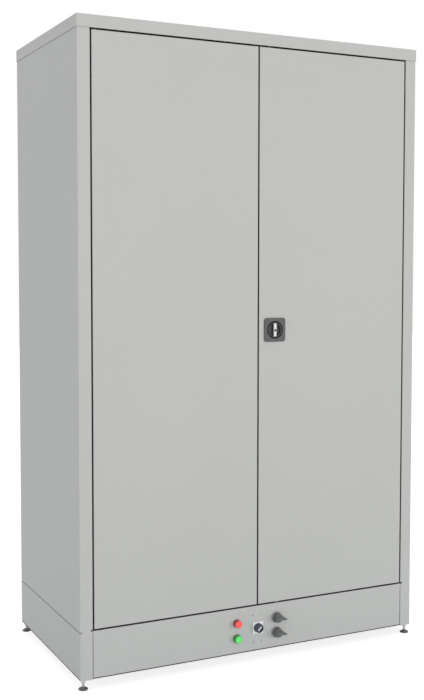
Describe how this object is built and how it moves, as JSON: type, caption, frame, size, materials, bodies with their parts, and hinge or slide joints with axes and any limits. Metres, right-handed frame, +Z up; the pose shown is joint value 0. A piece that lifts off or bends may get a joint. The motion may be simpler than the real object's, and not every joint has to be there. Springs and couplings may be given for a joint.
{
  "type": "drying cabinet",
  "caption": "Free-standing two-door drying cabinet for work clothes: heated machine base with controls, hanging space, shelves and roof exhaust.",
  "frame": {"origin": "on the floor, under the middle of the cabinet's overall box", "axes": "+X to the right seen from the front, +Y to the back, +Z up"},
  "size_m": [1.203, 0.668, 2.05],
  "materials": {
    "paint_light": "powder coat, fine texture, light grey",
    "paint_inner": "powder coat, light grey",
    "galvanised": "zinc-plated steel sheet",
    "steel": "bright zinc",
    "chrome": "bright chrome",
    "plastic_dark": "fine-textured dark grey",
    "plastic_grey": "satin grey",
    "plastic_navy": "satin navy",
    "plastic_white": "satin white",
    "nylon": "natural nylon",
    "lens_red": "translucent red",
    "lens_green": "translucent green",
    "rubber": "black",
    "heater_steel": "oxidised sheath steel"
  },
  "bodies": {
    "cabinet": {"side_left": "paint_light", "side_right": "paint_light", "back_panel": "paint_inner", "roof_cap": "paint_light", "roof_brace": "galvanised", "front_header": "paint_inner", "front_sill": "paint_inner", "base_front": "paint_light", "base_sides": "paint_light", "base_back": "paint_inner", "base_floor": "galvanised", "floor_grilles": "paint_inner", "floor_beams": "galvanised", "hanger_rail": "chrome", "rail_brackets": "steel", "hat_shelf": "paint_inner", "shelf_ledges": "galvanised", "shoe_rack_lower": "chrome", "shoe_rack_upper": "chrome", "heaters": "heater_steel", "fan_housings": "plastic_dark", "thermostat_plate": "plastic_white", "lamp_red": "lens_red", "lamp_green": "lens_green", "control_bodies": "plastic_dark", "switch_plates": "plastic_grey", "cable_gland": "plastic_dark", "exhaust_spigot": "galvanised", "hinge_bushes": "nylon", "magnet_catches": "plastic_dark", "lock_keeps": "nylon", "stop_seals": "rubber", "foot_sockets": "steel"},
    "door_left": {"door_left": "paint_light", "door_left_brace": "galvanised", "door_left_pivots": "steel", "door_left_seal": "rubber", "catch_plates": "steel"},
    "door_right": {"door_right": "paint_light", "door_right_brace": "galvanised", "door_right_pivots": "steel", "lock_housing": "plastic_dark", "lock_case": "galvanised", "rod_guides": "nylon"},
    "lock_rotor": {"lock_rotor": "plastic_dark", "lock_grip": "chrome", "lock_pinion": "steel"},
    "lock_key": {"key_barrel": "steel"},
    "rod_top": {"rod_top": "steel"},
    "rod_bottom": {"rod_bottom": "steel"},
    "switch_upper": {"switch_knob_upper": "plastic_grey"},
    "switch_lower": {"switch_knob_lower": "plastic_grey"},
    "thermostat": {"thermostat_knob": "plastic_navy", "thermostat_pointer": "plastic_white"},
    "fan_left": {"fan_left": "plastic_dark"},
    "fan_right": {"fan_right": "plastic_dark"},
    "foot_front_left": {"foot_front_left": "plastic_dark"},
    "foot_front_right": {"foot_front_right": "plastic_dark"},
    "foot_rear_left": {"foot_rear_left": "plastic_dark"},
    "foot_rear_right": {"foot_rear_right": "plastic_dark"}
  },
  "joints": [
    {"name": "door_left_hinge", "type": "hinge", "parent": "cabinet", "child": "door_left", "pos_m": [-0.543, -0.3, 1.07], "axis": [0, 0, -1], "range_deg": [0, 110]},
    {"name": "door_right_hinge", "type": "hinge", "parent": "cabinet", "child": "door_right", "pos_m": [0.543, -0.3, 1.07], "axis": [0, 0, 1], "range_deg": [0, 110]},
    {"name": "lock_turn", "type": "hinge", "parent": "door_right", "child": "lock_rotor", "pos_m": [0.0585, -0.31, 1.0675], "axis": [0, 1, 0], "range_deg": [0, 90]},
    {"name": "key_turn", "type": "hinge", "parent": "lock_rotor", "child": "lock_key", "pos_m": [0.0585, -0.31, 1.066], "axis": [0, 1, 0], "range_deg": [0, 90]},
    {"name": "rod_top_slide", "type": "slide", "parent": "door_right", "child": "rod_top", "axis": [0, 0, 1], "range_m": [0, 0.01885]},
    {"name": "rod_bottom_slide", "type": "slide", "parent": "door_right", "child": "rod_bottom", "axis": [0, 0, -1], "range_m": [0, 0.01885]},
    {"name": "switch_upper_turn", "type": "hinge", "parent": "cabinet", "child": "switch_upper", "pos_m": [0.07, -0.31, 0.131], "axis": [0, 1, 0], "range_deg": [-90, 0]},
    {"name": "switch_lower_turn", "type": "hinge", "parent": "cabinet", "child": "switch_lower", "pos_m": [0.07, -0.31, 0.082], "axis": [0, 1, 0], "range_deg": [-90, 0]},
    {"name": "thermostat_turn", "type": "hinge", "parent": "cabinet", "child": "thermostat", "pos_m": [0.0015, -0.31, 0.1065], "axis": [0, 1, 0], "range_deg": [-180, 90]},
    {"name": "fan_left_spin", "type": "hinge", "parent": "cabinet", "child": "fan_left", "pos_m": [-0.25, 0.29, 0.0882], "axis": [0, 1, 0], "continuous": true},
    {"name": "fan_right_spin", "type": "hinge", "parent": "cabinet", "child": "fan_right", "pos_m": [0.25, 0.29, 0.0882], "axis": [0, 1, 0], "continuous": true},
    {"name": "foot_front_left_screw", "type": "slide", "parent": "cabinet", "child": "foot_front_left", "axis": [0, 0, 1], "range_m": [-0.015, 0.01]},
    {"name": "foot_front_right_screw", "type": "slide", "parent": "cabinet", "child": "foot_front_right", "axis": [0, 0, 1], "range_m": [-0.015, 0.01]},
    {"name": "foot_rear_left_screw", "type": "slide", "parent": "cabinet", "child": "foot_rear_left", "axis": [0, 0, 1], "range_m": [-0.015, 0.01]},
    {"name": "foot_rear_right_screw", "type": "slide", "parent": "cabinet", "child": "foot_rear_right", "axis": [0, 0, 1], "range_m": [-0.015, 0.01]}
  ],
  "couplings": [
    {"joint": "lock_turn", "follows": "rod_top_slide", "rad_per_m": 83.333},
    {"joint": "rod_bottom_slide", "follows": "rod_top_slide", "ratio": 1}
  ]
}
